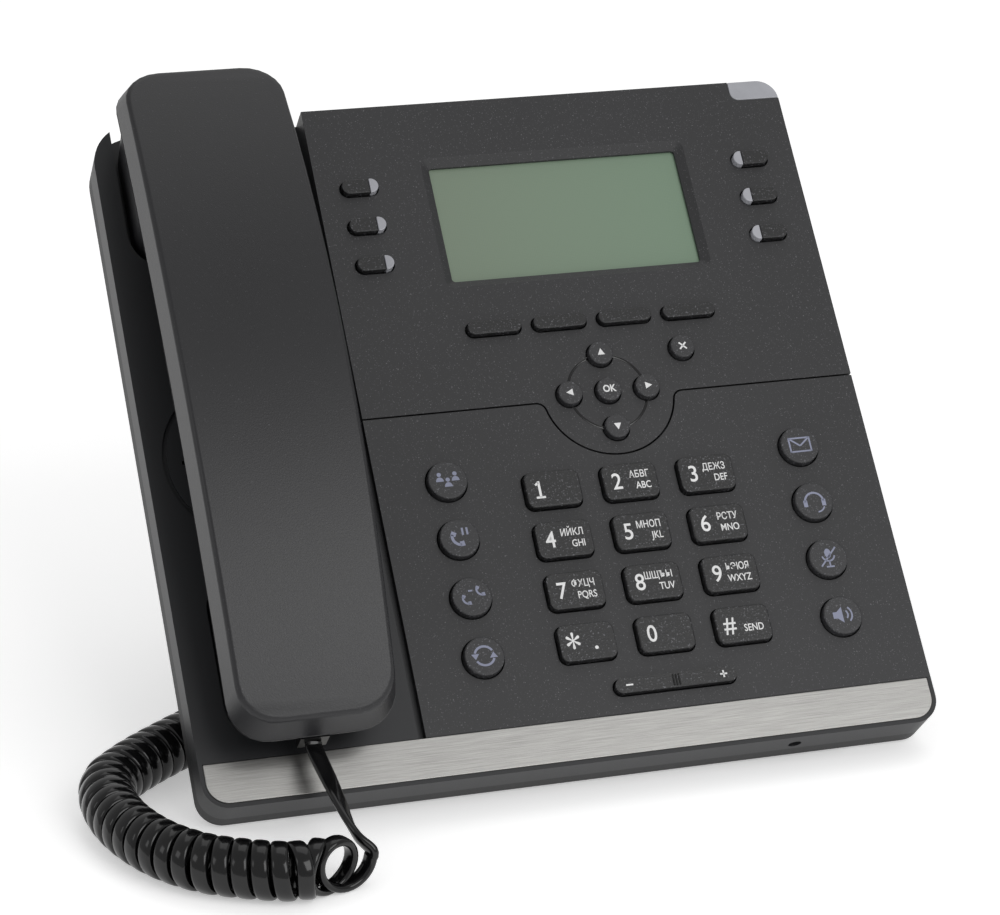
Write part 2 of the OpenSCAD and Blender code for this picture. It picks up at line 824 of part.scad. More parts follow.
module loudspeaker() {
  color("#55565a") on_face() translate([hs_u, spk_v, 0]) {
    layer(spk_low, -wall - 1) circle(spk_r);
    layer(back_w + wall, spk_low) circle(spk_magnet_r);
  }
}

// ---- Sockets ----

module socket_openings() {
  for (i = [0:1]) translate([-block_w, rj9_v + i * rj9_pitch, socket_w])
    cube([2 * wall + 2, rj9_hole[0] + 1, rj9_hole[1] + 1], center = true);
  for (i = [0:1]) translate([block_w, rj45_v + i * rj45_pitch, socket_w])
    cube([2 * wall + 2, rj45_hole[0] + 1, rj45_hole[1] + 1], center = true);
  translate([block_w - wall - 1, power_v, socket_w]) rotate([0, 90, 0])
    cylinder(r = power_hole_r + 0.6, h = wall + 2);
}

module socket_block(side, v, body, hole) {
  translate([side * (block_w - wall - body[0] / 2), v, socket_w]) difference() {
    cube([body[0], body[1], body[2]], center = true);
    translate([side * (body[0] / 2 - socket_depth / 2 + eps), 0, 0])
      cube([socket_depth, hole[0], hole[1]], center = true);
  }
}

module sockets() {
  color("#c9c9cc") on_face() {
    for (i = [0:1]) socket_block(-1, rj9_v + i * rj9_pitch, rj9_body, rj9_hole);
    for (i = [0:1]) socket_block(1, rj45_v + i * rj45_pitch, rj45_body, rj45_hole);
    translate([block_w - wall - power_body[0], power_v, socket_w]) {
      difference() {
        translate([0, -power_body[1] / 2, -power_body[2] / 2]) cube(power_body);
        translate([power_body[0] - power_depth, 0, 0]) rotate([0, 90, 0])
          cylinder(r = power_hole_r, h = power_depth + 1);
      }
      translate([power_body[0] - power_depth - 1, 0, 0]) rotate([0, 90, 0])
        cylinder(r = power_pin_r, h = power_depth);
    }
  }
}

// ---- Cord ----

module cord_coil() {
  color("#151516") tube(coil_path, coil_dia / 2, 12);
}

module cord_ends() {
  color("#151516") {
    tube(concat([
      face_point(handset_exit), face_point(handset_exit - [0, plug_lead, 0])
    ], handset_tail), tail_dia / 2, 8);
    tube(concat([
      face_point(base_exit), face_point(base_exit - [plug_lead, 0, 0])
    ], base_tail), tail_dia / 2, 8);
  }
}

// Plug of the cord in the base's handset socket
module cord_plug_base() {
  color("#303032") on_face() {
    translate([-block_w - plug_tail, rj9_v, socket_w]) {
      translate([0, -3, -2.4]) cube([plug_tail + wall, 6, 4.8]);
      translate([plug_tail + wall + plug_len / 2, 0, 0]) cube([plug_len, rj9_plug[0], rj9_plug[1]], center = true);
    }
  }
}

// ==== Handset ====

module handset_outer_shell() {
  color("#333335") on_face() difference() {
    hs_loft([
      [0, hs_part, hs_arch], [hs_draft - hs_edge, hs_top - hs_edge, hs_arch], [hs_draft, hs_top, hs_arch]
    ], 0, hs_r);
    hs_loft([
      [0, hs_part - 1, hs_arch], [hs_draft, hs_top - hs_wall, hs_arch]
    ], hs_wall, hs_r - hs_wall);
  }
}

module handset_inner_shell() {
  color("#39393b") on_face() difference() {
    union() {
      hs_loft([[hs_under, hs_grip, hs_grip_arch], [0, hs_part, hs_arch]], 0, hs_r);
      cup(ear_v, ear_w, ear_len, cup_top);
      cup(mouth_v, mouth_w, mouth_len, cup_top);
    }
    hs_loft([
      [hs_under, hs_grip + hs_wall, hs_grip_arch], [0, hs_part + 1, hs_arch]
    ], hs_wall, hs_r - hs_wall);
    cup(ear_v, ear_w, ear_len, cup_top + hs_wall, hs_wall);
    cup(mouth_v, mouth_w, mouth_len, cup_top + hs_wall, hs_wall);
    // sound holes
    for (n = [0:2], k = [0:max(1, 6 * n) - 1])
      translate([hs_u, ear_v, cup_low - 1]) rotate(360 * k / max(1, 6 * n))
        translate([n * 3, 0, 0]) cylinder(d = grille_hole, h = hs_wall + 2);
    translate([hs_u, mouth_v, cup_low - 1]) cylinder(d = grille_hole, h = hs_wall + 2);
    // opening that the cord's plug sits in
    translate(handset_exit) cube([rj9_plug[0] + 1, 2 * plug_in, rj9_plug[1] + 1], center = true);
  }
}

module handset_capsules() {
  color("#8a8a8c") on_face() {
    translate([hs_u, ear_v, 0]) layer(cup_low + hs_wall, cup_low + hs_wall + 6) circle(13);
    translate([hs_u, mouth_v + 4, 0]) layer(cup_low + hs_wall, cup_low + hs_wall + 5) circle(5);
  }
}

module cord_plug_handset() {
  color("#303032") on_face() translate(handset_exit + [0, plug_in / 2, 0])
    cube([rj9_plug[0], plug_in, rj9_plug[1]], center = true);
}

// ==== Stand, standing on its foot ====

module stand() {
  color("#303034") translate([0, hinge_y, hinge_z]) rotate([-stand_angle, 0, 0]) difference() {
    union() {
      rotate([0, 90, 0]) cylinder(r = hinge_r, h = stand_w, center = true);
      rotate([0, 90, 0]) cylinder(r = pin_r, h = stand_w + 2 * (lug_gap + hinge_lug_t), center = true);
      translate([-stand_w / 2, 0, -stand_t / 2]) cube([stand_w, stand_len, stand_t]);
      translate([0, stand_len, 0]) rotate([0, 90, 0]) cylinder(r = stand_foot_r, h = stand_w, center = true);
    }
    // opening for the cables
    translate([0, stand_len / 2, -stand_t]) linear_extrude(2 * stand_t)
      rounded(stand_w - 30, stand_len - 34, 8);
  }
}

module hook_plunger() {
  color("#2c2c2e") on_face() translate([hs_u, hook_v, 0]) {
    layer(back_w + wall + slack, cup_low - slack) rounded(hook_w, hook_h, 1);
  }
}

// ==== Keys ====

// Volume rocker, which tips about a pivot under its middle
module volume_rocker() {
  color("#2a2a2c") on_face() translate([keys_u, rocker_v, 0]) {
    layer(-panel_t - 0.8, key_rise - 0.2) rounded(rocker_w, rocker_h, rocker_h / 2 - eps);
    translate([0, 0, rocker_pivot_w]) rotate([90, 0, 0])
      cylinder(r = rocker_pivot_r, h = rocker_h + 2, center = true);
  }
}

front_case();
display_panel();
keypad_panel();
trim_strip();
rear_case();
front_feet();
case_screws();
lcd_module();
light_guides();
keypad_mat();
keypad_board();
main_board();
loudspeaker();
sockets();
cord_coil();
cord_ends();
cord_plug_base();
handset_outer_shell();
handset_inner_shell();
handset_capsules();
cord_plug_handset();
stand();
hook_plunger();
dial_key(0, 0);  // key_1
dial_key(1, 0);  // key_2
dial_key(2, 0);  // key_3
dial_key(0, 1);  // key_4
dial_key(1, 1);  // key_5
dial_key(2, 1);  // key_6
dial_key(0, 2);  // key_7
dial_key(1, 2);  // key_8
dial_key(2, 2);  // key_9
dial_key(0, 3);  // key_star
dial_key(1, 3);  // key_0
dial_key(2, 3);  // key_hash
round_key(-func_u, func_v, func_dia, key_rise);  // key_conference
round_key(-func_u, func_v - func_pitch, func_dia, key_rise);  // key_hold
round_key(-func_u, func_v - 2 * func_pitch, func_dia, key_rise);  // key_transfer
round_key(-func_u, func_v - 3 * func_pitch, func_dia, key_rise);  // key_redial
round_key(func_u, func_v, func_dia, key_rise);  // key_message
round_key(func_u, func_v - func_pitch, func_dia, key_rise);  // key_headset
round_key(func_u, func_v - 2 * func_pitch, func_dia, key_rise);  // key_mute
round_key(func_u, func_v - 3 * func_pitch, func_dia, key_rise);  // key_speaker
round_key(0, nav_v + nav_r, nav_dia, key_rise);  // key_up
round_key(0, nav_v - nav_r, nav_dia, key_rise);  // key_down
round_key(-nav_r, nav_v, nav_dia, key_rise);  // key_left
round_key(nav_r, nav_v, nav_dia, key_rise);  // key_right
round_key(0, nav_v, nav_dia, key_rise);  // key_ok
round_key(cancel_u, cancel_v, nav_dia, key_rise);  // key_cancel
soft_key(0);  // soft_key_1
soft_key(1);  // soft_key_2
soft_key(2);  // soft_key_3
soft_key(3);  // soft_key_4
line_key(-1, 0);  // line_key_1
line_key(-1, 1);  // line_key_2
line_key(-1, 2);  // line_key_3
line_key(1, 0);  // line_key_4
line_key(1, 1);  // line_key_5
line_key(1, 2);  // line_key_6
volume_rocker();
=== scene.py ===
# %% [markdown]
# # Desk telephone with a curly-corded handset
# The telephone is a sloping base with a display and keys, a handset lying in a cradle on its left,
# and a flat curly cord that lies on the desk. The engineering model is loaded first, as a fixed frame:
# every piece made here takes its place and size from it, and rides on one of its bodies.

import math

import bmesh
import bpy
import numpy as np
from mathutils import Matrix, Vector


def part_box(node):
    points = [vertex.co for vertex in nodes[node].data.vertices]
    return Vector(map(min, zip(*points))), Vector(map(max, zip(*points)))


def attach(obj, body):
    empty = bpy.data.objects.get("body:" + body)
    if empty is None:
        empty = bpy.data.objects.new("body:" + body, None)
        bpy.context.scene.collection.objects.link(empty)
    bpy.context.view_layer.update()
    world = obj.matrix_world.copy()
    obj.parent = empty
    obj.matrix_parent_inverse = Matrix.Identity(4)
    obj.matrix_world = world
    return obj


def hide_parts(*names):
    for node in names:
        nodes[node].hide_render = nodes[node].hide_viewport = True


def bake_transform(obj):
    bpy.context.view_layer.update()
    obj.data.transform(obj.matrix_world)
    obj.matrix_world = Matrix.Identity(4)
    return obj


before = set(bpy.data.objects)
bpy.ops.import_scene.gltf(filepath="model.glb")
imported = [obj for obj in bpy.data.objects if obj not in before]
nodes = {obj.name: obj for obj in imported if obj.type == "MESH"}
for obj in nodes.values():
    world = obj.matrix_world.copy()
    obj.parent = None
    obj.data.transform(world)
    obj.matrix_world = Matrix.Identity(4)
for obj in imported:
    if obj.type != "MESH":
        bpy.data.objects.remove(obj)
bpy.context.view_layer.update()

# %% [markdown]
# ## The sloping face as a drawing board
# Nearly everything sits on a face that slopes at 45 degrees. On a real drawing it would be drawn flat,
# so here is a flat sheet too: u runs to the right, v up the slope and w out of it, in millimetres.
# One function turns (u, v, w) into metres in the object's own frame, and another reads a key's middle back.

# %% The face frame
MM = 0.001
SLOPE = math.radians(45)
RIM_DEPTH = 9.0  # depth of the front case's rim, which sets its lowest point
base_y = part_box("front_case")[0][1]
base_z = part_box("front_case")[0][2] + RIM_DEPTH * MM * math.cos(SLOPE)
FACE = np.array(
    [
        [1, 0, 0],
        [0, math.cos(SLOPE), -math.sin(SLOPE)],
        [0, math.sin(SLOPE), math.cos(SLOPE)],
    ]
)


def on_face(points):
    """Rows of (u, v, w) in millimetres become metres: turned by the slope about X, then moved to the
    face's lower edge."""
    return np.asarray(points, float) @ FACE.T * MM + np.array([0, base_y, base_z])


def face_place(node):
    """(u, v) of the middle of a CAD node that is the same on both sides of its middle."""
    low, high = (np.array(c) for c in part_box(node))
    mid = (low + high) / 2
    return mid[0] / MM, ((mid[1] - base_y) + (mid[2] - base_z)) / math.sqrt(2) / MM


keys_u, ok_v = face_place("key_ok")
print("keypad's middle", round(keys_u, 2), "navigation keys' height", round(ok_v, 2))

# %% [markdown]
# ## The camera
# A long lens from the left and above, as for a catalogue. Its place and its three angles are worked
# out in the object's own frame.

# %% Camera
camera = bpy.data.objects.new("camera", bpy.data.cameras.new("camera"))
bpy.context.scene.collection.objects.link(camera)
CAMERA_AT = Vector((-0.25183, -0.82616, 0.40097))  # metres from the middle of the footprint
CAMERA_LEFT = math.radians(16.8085)  # how far it stands round to the left
CAMERA_DOWN = math.radians(20.9707)  # how far it looks down
CAMERA_ROLL = math.radians(0.5504)
turn = (
    Matrix.Rotation(-CAMERA_LEFT, 4, "Z")
    @ Matrix.Rotation(math.pi / 2 - CAMERA_DOWN, 4, "X")
    @ Matrix.Rotation(CAMERA_ROLL, 4, "Z")
)
camera.matrix_world = Matrix.Translation(CAMERA_AT) @ turn
camera.data.sensor_width = 36
camera.data.lens = 121.45
camera.data.clip_start = 0.01
bpy.context.scene.camera = camera

# %% [markdown]
# ## Finishes
# The cases are ABS, moulded against a spark-eroded tool: that gives a fine pebbled surface which
# spreads the light, with tiny bright glints where a pebble faces a lamp. Each finish is made of a
# grain of a real size, a little colour change, painted glints (a lighter colour on the grain's
# highest points, painted in place of those lamp glints), and a bump from the same grain.

# %% Colour and node helpers
def srgb(code):
    """A colour written as sRGB hex, such as 3c3c40, as linear red, green, blue and alpha."""
    part = np.array([int(code[i : i + 2], 16) for i in (0, 2, 4)]) / 255
    linear = np.where(part <= 0.04045, part / 12.92, ((part + 0.055) / 1.055) ** 2.4)
    return (*linear.tolist(), 1.0)


def add(tree, kind, settings=(), **inputs):
    """Adds a node, sets its properties, then sets or links each input by name (a _ stands for a space)."""
    node = tree.nodes.new(kind)
    for name, value in dict(settings).items():
        setattr(node, name, value)
    for name, value in inputs.items():
        key = int(name[1:]) if name[0] == "i" and name[1:].isdigit() else name.replace("_", " ")
        if isinstance(value, bpy.types.NodeSocket):
            tree.links.new(value, node.inputs[key])
        else:
            node.inputs[key].default_value = value
    return node


def start(name):
    """A new material with an empty tree: gives the material, its tree and the object coordinates."""
    material = bpy.data.materials.new(name)
    material.use_nodes = True
    tree = material.node_tree
    tree.nodes.clear()
    where = add(tree, "ShaderNodeTexCoord").outputs["Object"]
    return material, tree, where


def moulded(name, colour, glint_colour, rough, grain_mm=0.35, depth_mm=0.03, glint_level=0.66):
    """Moulded plastic: pebbles of grain_mm, painted glints (a lighter colour on the grain's highest
    points, a painted highlight standing in for lamp glints on the pebbles), and a slow change of
    colour over 60 mm."""
    material, tree, where = start(name)
    grain = add(
        tree, "ShaderNodeTexNoise", Vector=where, Scale=1 / (grain_mm * MM), Detail=2.0, Roughness=0.6
    )
    slow = add(tree, "ShaderNodeTexNoise", Vector=where, Scale=1 / (60 * MM), Detail=1.0)
    base = srgb(colour)
    darker = tuple(c * 0.86 for c in base[:3]) + (1.0,)
    cloud = add(tree, "ShaderNodeMapRange", Value=slow.outputs["Fac"], From_Min=0.35, From_Max=0.65)
    body = add(tree, "ShaderNodeMix", {"data_type": "RGBA"}, i0=cloud.outputs[0], i6=darker, i7=base)
    # Painted glints: the grain's highest points take the lighter glint colour, a painted highlight in the
    # base colour.
    glint_mask = add(
        tree, "ShaderNodeMapRange", Value=grain.outputs["Fac"], From_Min=glint_level, From_Max=glint_level + 0.08
    )
    mix = add(
        tree,
        "ShaderNodeMix",
        {"data_type": "RGBA"},
        i0=glint_mask.outputs[0],
        i6=body.outputs[2],
        i7=srgb(glint_colour),
    )
    rough_map = add(
        tree,
        "ShaderNodeMapRange",
        Value=grain.outputs["Fac"],
        To_Min=rough - 0.07,
        To_Max=rough + 0.07,
    )
    bump = add(
        tree, "ShaderNodeBump", Height=grain.outputs["Fac"], Distance=depth_mm * MM, Strength=1.0
    )
    shader = add(
        tree,
        "ShaderNodeBsdfPrincipled",
        Base_Color=mix.outputs[2],
        Roughness=rough_map.outputs[0],
        Normal=bump.outputs[0],
        IOR=1.53,
    )
    add(tree, "ShaderNodeOutputMaterial", Surface=shader.outputs[0])
    return material


def smooth(name, colour, rough, metallic=0.0, ior=1.5, coat=0.0, wave=0.0):
    """Smooth plastic, rubber or plated metal: an even colour with a faint slow change and a faint bump."""
    material, tree, where = start(name)
    cloud = add(tree, "ShaderNodeTexNoise", Vector=where, Scale=1 / (9 * MM), Detail=3.0)
    base = srgb(colour)
    darker = tuple(c * 0.85 for c in base[:3]) + (1.0,)
    tint = add(tree, "ShaderNodeMapRange", Value=cloud.outputs["Fac"], From_Min=0.3, From_Max=0.7)
    body = add(tree, "ShaderNodeMix", {"data_type": "RGBA"}, i0=tint.outputs[0], i6=darker, i7=base)
    rough_map = add(
        tree, "ShaderNodeMapRange", Value=cloud.outputs["Fac"], To_Min=rough * 0.85, To_Max=rough * 1.15
    )
    bump = add(tree, "ShaderNodeBump", Height=cloud.outputs["Fac"], Distance=wave * MM, Strength=1.0)
    settings = dict(
        Base_Color=body.outputs[2],
        Roughness=rough_map.outputs[0],
        Normal=bump.outputs[0],
        Metallic=metallic,
        Coat_Weight=coat,
        Coat_Roughness=0.08,
    )
    if metallic == 0:
        settings["IOR"] = ior
    shader = add(tree, "ShaderNodeBsdfPrincipled", **settings)
    add(tree, "ShaderNodeOutputMaterial", Surface=shader.outputs[0])
    return material


# %% [markdown]
# The strip is aluminium foil or sheet, brushed along its length: thousands of fine scratches that run
# sideways stretch every reflection up and down. A noise that is squeezed hard in one direction gives them.

# %% Brushed aluminium
def brushed_aluminium():
    """Noise stretched along X: 0.08 mm scratches across the strip, 12 mm long along it."""
    material, tree, where = start("aluminium_brushed_along_strip")
    stretch = add(tree, "ShaderNodeMapping", Vector=where, Scale=(1 / 12, 12, 12))
    scratches = add(
        tree, "ShaderNodeTexNoise", Vector=stretch.outputs[0], Scale=1 / MM, Detail=3.0, Roughness=0.7
    )
    light = add(tree, "ShaderNodeMapRange", Value=scratches.outputs["Fac"], From_Min=0.3, From_Max=0.7)
    tone = add(
        tree,
        "ShaderNodeMix",
        {"data_type": "RGBA"},
        i0=light.outputs[0],
        i6=srgb("858482"),
        i7=srgb("b3b2af"),
    )
    rough_map = add(
        tree, "ShaderNodeMapRange", Value=scratches.outputs["Fac"], To_Min=0.26, To_Max=0.42
    )
    bump = add(
        tree, "ShaderNodeBump", Height=scratches.outputs["Fac"], Distance=0.004 * MM, Strength=1.0
    )
    shader = add(
        tree,
        "ShaderNodeBsdfPrincipled",
        Base_Color=tone.outputs[2],
        Roughness=rough_map.outputs[0],
        Normal=bump.outputs[0],
        Metallic=1.0,
    )
    add(tree, "ShaderNodeOutputMaterial", Surface=shader.outputs[0])
    return material


# %% [markdown]
# A reflective display has no light of its own: an olive-grey layer under a thin glass. The glass is a
# coat on the same surface, and the layer has the faint fine rows and columns of the display's cells.

# %% Display
def display_glass():
    """Olive-grey cells 0.45 mm apart, a little greener to the right, under a clear coat."""
    material, tree, where = start("reflective_display_under_glass")
    split = add(tree, "ShaderNodeSeparateXYZ", Vector=where)
    across = add(
        tree,
        "ShaderNodeMapRange",
        Value=split.outputs["X"],
        From_Min=keys_u * MM - 0.04,
        From_Max=keys_u * MM + 0.04,
    )
    tone = add(
        tree,
        "ShaderNodeMix",
        {"data_type": "RGBA"},
        i0=across.outputs[0],
        i6=srgb("778673"),
        i7=srgb("738a74"),
    )
    cells = add(
        tree,
        "ShaderNodeTexBrick",
        {"offset": 0.0, "squash": 1.0},
        Vector=add(tree, "ShaderNodeMapping", Vector=where, Rotation=(-SLOPE, 0, 0)).outputs[0],
        Color1=(1, 1, 1, 1),
        Color2=(1, 1, 1, 1),
        Mortar=(0.93, 0.93, 0.93, 1),
        Scale=1.0,
        Mortar_Size=0.05 * MM,
        Brick_Width=0.5 * MM,
        Row_Height=0.5 * MM,
    )
    mix = add(
        tree,
        "ShaderNodeMix",
        {"data_type": "RGBA", "blend_type": "MULTIPLY"},
        i0=1.0,
        i6=tone.outputs[2],
        i7=cells.outputs["Color"],
    )
    shader = add(
        tree,
        "ShaderNodeBsdfPrincipled",
        Base_Color=mix.outputs[2],
        Roughness=0.35,
        IOR=1.5,
        Coat_Weight=0.6,
        Coat_Roughness=0.12,
    )
    add(tree, "ShaderNodeOutputMaterial", Surface=shader.outputs[0])
    return material


# %% The finishes
# For each moulded finish, the second colour is its painted glint colour: a painted highlight on the grain's
# tops.
panel_abs = moulded("abs_moulded_face_panels", "272729", "6c6c6f", 0.5, 0.4, 0.035, 0.64)
cradle_abs = moulded("abs_moulded_cradle", "191a1d", "3c3d42", 0.5, 0.3, 0.012, 0.72)
handset_abs = moulded("abs_moulded_handset", "17171a", "4c4c50", 0.4, 0.4, 0.035, 0.68)
rear_abs = moulded("abs_moulded_back", "0f0f11", "2c2c2f", 0.6, 0.4, 0.03, 0.7)
key_rubber = moulded("silicone_keys_coarse_grain", "19191a", "606064", 0.42, 0.5, 0.07, 0.6)
round_rubber = moulded("silicone_round_keys_grain", "2d2d2f", "626266", 0.5, 0.45, 0.05, 0.6)
strip_metal = brushed_aluminium()
display = display_glass()
cord_jacket = smooth("pvc_cord_jacket_glossy", "0b0b0c", 0.14, ior=1.46, wave=0.01)
plug_clear = smooth("polycarbonate_plug_smoky", "0d0d0e", 0.3, ior=1.5)
white_ink = smooth("screen_printed_white_legend", "ececec", 0.55)
grey_ink = smooth("screen_printed_grey_blue_symbol", "8c90a6", 0.5)
gloss_black = smooth("abs_polished_groove", "0c0c0d", 0.12, ior=1.53)
light_pipe = smooth("acrylic_light_guide_milky", "a9aab0", 0.3, ior=1.49, coat=0.3)
foot_rubber = smooth("rubber_foot_matt", "141415", 0.8, wave=0.05)
screw_zinc = smooth("steel_screw_zinc_plated", "b4b6ba", 0.3, metallic=1.0)
board_green = smooth("circuit_board_solder_mask", "1d4a30", 0.35, ior=1.55)
mat_silicone = smooth("silicone_keypad_mat", "6a6c70", 0.6)
speaker_steel = smooth("steel_speaker_frame", "8b8c90", 0.35, metallic=1.0)
socket_nylon = smooth("nylon_socket_black", "1b1b1d", 0.4, ior=1.53)
print("materials", len(bpy.data.materials))

# %% [markdown]
# ## Making a mesh from whole arrays
# A surface is a grid of points: row after row, each row a closed ring. Neighbouring rings are joined by
# quads, and the first and last rings are closed by one face each.

# %% Mesh helpers
def mesh_object(name, points, faces, material, smooth_angle=35):
    """An object at the origin whose mesh has these points in metres and these faces."""
    mesh = bpy.data.meshes.new(name)
    mesh.from_pydata(np.asarray(points).tolist(), [], faces)
    bm = bmesh.new()
    bm.from_mesh(mesh)
    bmesh.ops.remove_doubles(bm, verts=bm.verts, dist=1e-7)
    bmesh.ops.recalc_face_normals(bm, faces=bm.faces)
    bm.to_mesh(mesh)
    bm.free()
    mesh.shade_smooth()
    mesh.set_sharp_from_angle(angle=math.radians(smooth_angle))
    mesh.materials.append(material)
    made = bpy.data.objects.new(name, mesh)
    bpy.context.scene.collection.objects.link(made)
    return made


def ring_faces(rings, around, first=0, caps=True):
    """Quads between neighbouring closed rings of `around` points, and a face over each end."""
    i, k = np.meshgrid(np.arange(rings - 1), np.arange(around), indexing="ij")
    a, b = i * around + k, i * around + (k + 1) % around
    quads = np.stack([a, b, b + around, a + around], -1).reshape(-1, 4) + first
    faces = quads.tolist()
    if caps:
        last = first + (rings - 1) * around
        faces += [list(range(first, first + around))[::-1], list(range(last, last + around))]
    return faces


# %% [markdown]
# ## The cord
# A handset cord is a flat cable of four thin wires, wound hot round a rod so that it springs back into
# a coil. It is drawn here as what it is: a flat ribbon carried along a helix, whose middle follows the
# lazy curve in which the coil lies on the desk. The straight lead up to the handset is its own piece, because
# it bends when the handset is picked up.

# %% Path tools
def smooth_path(points, step):
    """A Catmull-Rom curve through the points, read off at equal steps of length: rows of x, y, z."""
    p = np.asarray(points, float)
    p = np.vstack([2 * p[0] - p[1], p, 2 * p[-1] - p[-2]])
    t = np.linspace(0, 1, 60, endpoint=False)[:, None]
    parts = [
        0.5
        * (
            2 * b
            + (c - a) * t
            + (2 * a - 5 * b + 4 * c - d) * t**2
            + (3 * b - a - 3 * c + d) * t**3
        )
        for a, b, c, d in zip(p, p[1:], p[2:], p[3:])
    ]
    line = np.vstack(parts + [p[-2]])
    run = np.concatenate([[0], np.cumsum(np.linalg.norm(np.diff(line, axis=0), axis=1))])
    where = np.linspace(0, run[-1], max(2, int(round(run[-1] / step)) + 1))
    return np.stack([np.interp(where, run, line[:, c]) for c in range(3)], 1)


def unit(v):
    """Rows divided by their lengths."""
    return v / np.linalg.norm(v, axis=-1, keepdims=True)


def carried_frame(path, first):
    """A direction square to the path that is carried along it without twisting."""
    tangent = unit(np.gradient(path, axis=0))
    out = np.empty_like(path)
    n = np.asarray(first, float)
    for i, t in enumerate(tangent):
        n = n - t * (n @ t)
        n = n / np.linalg.norm(n)
        out[i] = n
    return tangent, out


def ribbon(name, path, normal, width, thick, material):
    """A flat cord: a rounded flat section carried along the path, `thick` along the normal and `width`
    square to it. The powers 0.62 and 0.85 flatten an ellipse into a ribbon with round edges."""
    tangent = unit(np.gradient(path, axis=0))
    normal = unit(normal - tangent * (normal * tangent).sum(1, keepdims=True))
    side = np.cross(tangent, normal)
    a = np.linspace(0, 2 * math.pi, 16, endpoint=False)
    across = np.sign(np.cos(a)) * np.abs(np.cos(a)) ** 0.62 * width / 2
    out = np.sign(np.sin(a)) * np.abs(np.sin(a)) ** 0.85 * thick / 2
    points = (
        path[:, None, :]
        + side[:, None, :] * across[None, :, None]
        + normal[:, None, :] * out[None, :, None]
    )
    return mesh_object(
        name, points.reshape(-1, 3), ring_faces(len(path), len(a)), material, 60
    )


# %% The coil and its two leads
COIL_D = 15 * MM
RIBBON_W = 4.5 * MM
RIBBON_T = 2.2 * MM
PITCH = 4.75 * MM
coil_r = (COIL_D - RIBBON_T) / 2
coil_z = COIL_D / 2
coil_line = [
    (-71.2, -102.4), (-74.5, -102.5), (-78.0, -102.8), (-83.0, -103.2), (-88.0, -102.5),
    (-98.0, -98.0), (-107.0, -92.0), (-115.0, -82.0), (-120.5, -69.0), (-122.5, -56.0),
    (-121.0, -45.0), (-115.5, -38.0), (-109.0, -32.0), (-102.0, -26.5), (-96.0, -22.0),
    (-90.0, -18.0), (-83.0, -13.0),
]
POINTS_A_TURN = 36
END_TURNS = (0.8, 2.9)  # the end turn leans over, and the next two stand up again
END_LEAN = math.radians(72)
middle = smooth_path([(x * MM, y * MM, coil_z) for x, y in coil_line], PITCH / POINTS_A_TURN)
along, radial = carried_frame(middle, (0, 1, 0))
binormal = np.cross(along, radial)
angle = np.arange(len(middle)) * 2 * math.pi / POINTS_A_TURN
spoke = radial * np.cos(angle)[:, None] + binormal * np.sin(angle)[:, None]
past = np.clip((angle / (2 * math.pi) - END_TURNS[0]) / (END_TURNS[1] - END_TURNS[0]), 0, 1)
ease = (1 - past * past * (3 - 2 * past)) * END_LEAN
spoke = np.stack(
    [
        spoke[:, 0] * np.cos(ease) + spoke[:, 1] * np.sin(ease),
        -spoke[:, 0] * np.sin(ease) + spoke[:, 1] * np.cos(ease),
        spoke[:, 2],
    ],
    1,
)
helix = middle + coil_r * spoke

plug_low, plug_high = (np.array(c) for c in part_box("cord_plug_handset"))
hs_u = (plug_low[0] + plug_high[0]) / 2 / MM
HANDSET_V0 = 11.5  # the handset's lower end, up the face, where its cord leaves
EXIT_W = 10.0  # the cord's height over the face there
BASE_SOCKET = (75.0, -22.4)  # v and w of the handset's socket, in the base's left side
LEAD_STEP = 0.4 * MM
# The lead leaves the handset, passes over the base's lower edge and turns into the coil's first ring.
exit_handset = on_face([(hs_u, HANDSET_V0, EXIT_W)])[0]
lead_points = [
    exit_handset,
    on_face([(hs_u, HANDSET_V0 - 2, EXIT_W)])[0],
    np.array((-71.0, -80.0, 20.2)) * MM,
    np.array((-70.1, -86.5, 17.4)) * MM,
    np.array((-69.2, -93.0, 14.4)) * MM,
    np.array((-67.8, -97.6, 11.8)) * MM,
    helix[0] - unit(helix[1] - helix[0]) * 1.5 * MM,
    helix[0],
]
lead = smooth_path(lead_points, LEAD_STEP)
blend_in = np.linspace(0, 1, len(lead))[:, None] ** 1.5
lead_normal = (1 - blend_in) * np.array([0.1, -0.8, 0.75]) + blend_in * spoke[0]
handset_lead = ribbon("cord_handset_lead", lead, lead_normal, RIBBON_W, RIBBON_T, cord_jacket)

# Behind the base the cord's other end climbs from the desk to the socket.
exit_base = np.array(
    [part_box("cord_plug_base")[0][0], *on_face([(0, *BASE_SOCKET)])[0][1:]]
)
leave = helix[-1] + unit(helix[-1] - helix[-2]) * 3 * MM
base_points = [
    helix[-1],
    leave,
    np.array((-86.5, -10.0, 17.0)) * MM,
    np.array((-85.0, -8.0, 25.0)) * MM,
    np.array((-84.0, -6.5, 33.0)) * MM,
    np.array((-81.0, -4.6, 41.5)) * MM,
    exit_base + np.array((-4.0, 0, -0.4)) * MM,
    exit_base,
]
base_lead = smooth_path(base_points, LEAD_STEP)[1:]
fade = np.linspace(0, 1, len(base_lead))[:, None]
base_normal = (1 - fade) * spoke[-1] + fade * np.array([0.0, -0.7, 0.7])
coil_path = np.vstack([helix, base_lead])
coil = ribbon(
    "cord_coil_ribbon",
    coil_path,
    np.vstack([spoke, base_normal]),
    RIBBON_W,
    RIBBON_T,
    cord_jacket,
)
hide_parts("cord_coil")
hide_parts("cord_ends")
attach(coil, "base")
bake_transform(handset_lead)
print("turns", round(len(middle) / POINTS_A_TURN, 1))

# %% [markdown]
# ## Softening the moulded parts
# No moulded edge is truly sharp: the tool's corners leave a radius of a few tenths of a millimetre,
# and that is the thin bright line along every edge. Each plain part is copied, its triangles joined back
# into whole faces, and its edges rounded with a bevel whose normals stay flat on the broad faces.

